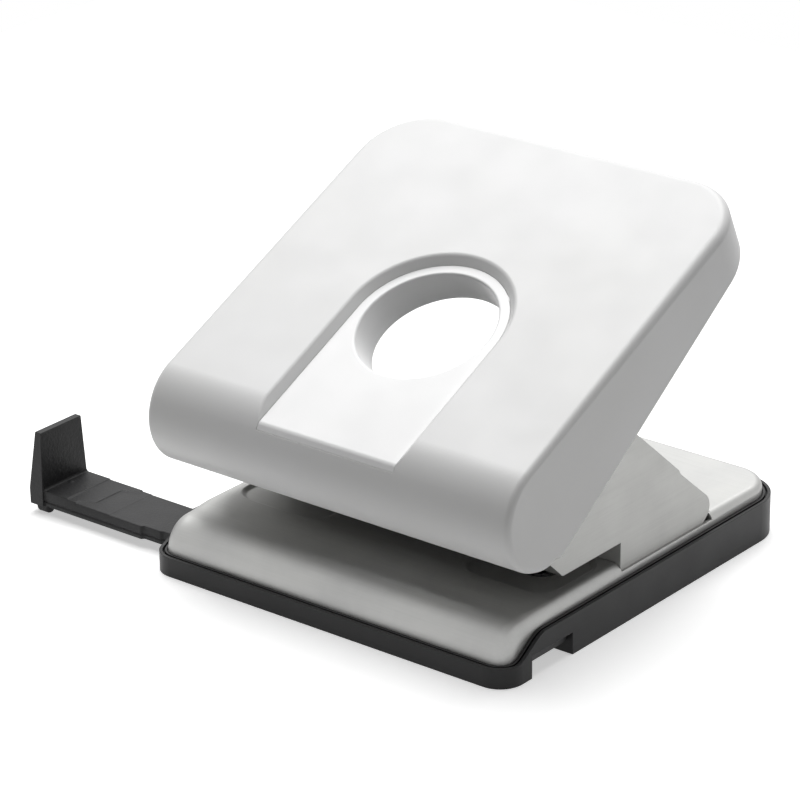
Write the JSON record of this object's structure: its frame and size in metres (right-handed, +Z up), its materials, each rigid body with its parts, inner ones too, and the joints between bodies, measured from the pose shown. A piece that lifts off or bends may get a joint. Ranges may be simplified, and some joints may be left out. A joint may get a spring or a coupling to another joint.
{
  "type": "two-hole paper punch",
  "caption": "Manual desk hole punch: pressed steel base and bridge, sprung punch pins, moulded lever with a thumb hole, sliding paper guide and drop-down chip tray",
  "frame": {"origin": "on the desk under the base surround, midway between its sides and 61 mm behind its front", "axes": "+X to the user's right, along the two punched holes; +Y away from the user; +Z up. The paper goes in from -Y and the guide slides out to -X"},
  "size_m": [0.1688, 0.127, 0.1011],
  "materials": {
    "surround_plastic": "fine satin texture",
    "plate_steel": "satin nickel-plated sheet",
    "bridge_steel": "satin nickel-plated sheet",
    "lever_steel": "zinc-plated sheet",
    "fastener_steel": "zinc-plated",
    "die_steel": "hardened and ground",
    "pin_steel": "hardened and polished",
    "spring_steel": "bright drawn wire and spring strip",
    "foot_rubber": "matt",
    "bush_plastic": "natural nylon",
    "cover_plastic": "satin light grey-white",
    "insert_plastic": "satin white",
    "guide_plastic": "fine grained",
    "tray_plastic": "satin"
  },
  "bodies": {
    "base": {"base_surround": "surround_plastic", "base_plate": "plate_steel", "bridge_frame": "bridge_steel", "pin_guide": "bridge_steel", "bridge_rivets": "fastener_steel", "die_ring_left": "die_steel", "die_ring_right": "die_steel", "base_studs": "fastener_steel", "surround_screws": "fastener_steel", "rubber_feet": "foot_rubber", "pivot_shaft": "pin_steel", "shaft_clips": "spring_steel", "return_spring_left": "spring_steel", "return_spring_right": "spring_steel"},
    "lever": {"lever_cover": "cover_plastic", "grip_insert": "insert_plastic", "press_lever": "lever_steel", "cover_screws": "fastener_steel", "shaft_bushes": "bush_plastic"},
    "punch_left": {"punch_pin_left": "pin_steel", "pin_collar_left": "spring_steel"},
    "punch_right": {"punch_pin_right": "pin_steel", "pin_collar_right": "spring_steel"},
    "guide": {"paper_guide": "guide_plastic"},
    "tray": {"chip_tray": "tray_plastic"}
  },
  "joints": [
    {"name": "lever_press", "type": "hinge", "parent": "base", "child": "lever", "pos_m": [0, -0.042, 0.041], "axis": [-1, 0, 0], "range_deg": [0, 25], "stiffness_Nm_per_rad": 1, "springref_deg": -20.05},
    {"name": "punch_left_stroke", "type": "slide", "parent": "base", "child": "punch_left", "axis": [0, 0, -1], "range_m": [0, 0.0095], "deforming": ["return_spring_left"]},
    {"name": "punch_right_stroke", "type": "slide", "parent": "base", "child": "punch_right", "axis": [0, 0, -1], "range_m": [0, 0.0095], "deforming": ["return_spring_right"]},
    {"name": "guide_slide", "type": "slide", "parent": "base", "child": "guide", "axis": [1, 0, 0], "range_m": [-0.0435, 0.043]},
    {"name": "tray_open", "type": "hinge", "parent": "base", "child": "tray", "pos_m": [0, 0.048, 0.0032], "axis": [1, 0, 0], "range_deg": [0, 70]}
  ],
  "couplings": [
    {"joint": "punch_left_stroke", "follows": "lever_press", "m_per_rad": 0.02134},
    {"joint": "punch_right_stroke", "follows": "lever_press", "m_per_rad": 0.02134}
  ]
}
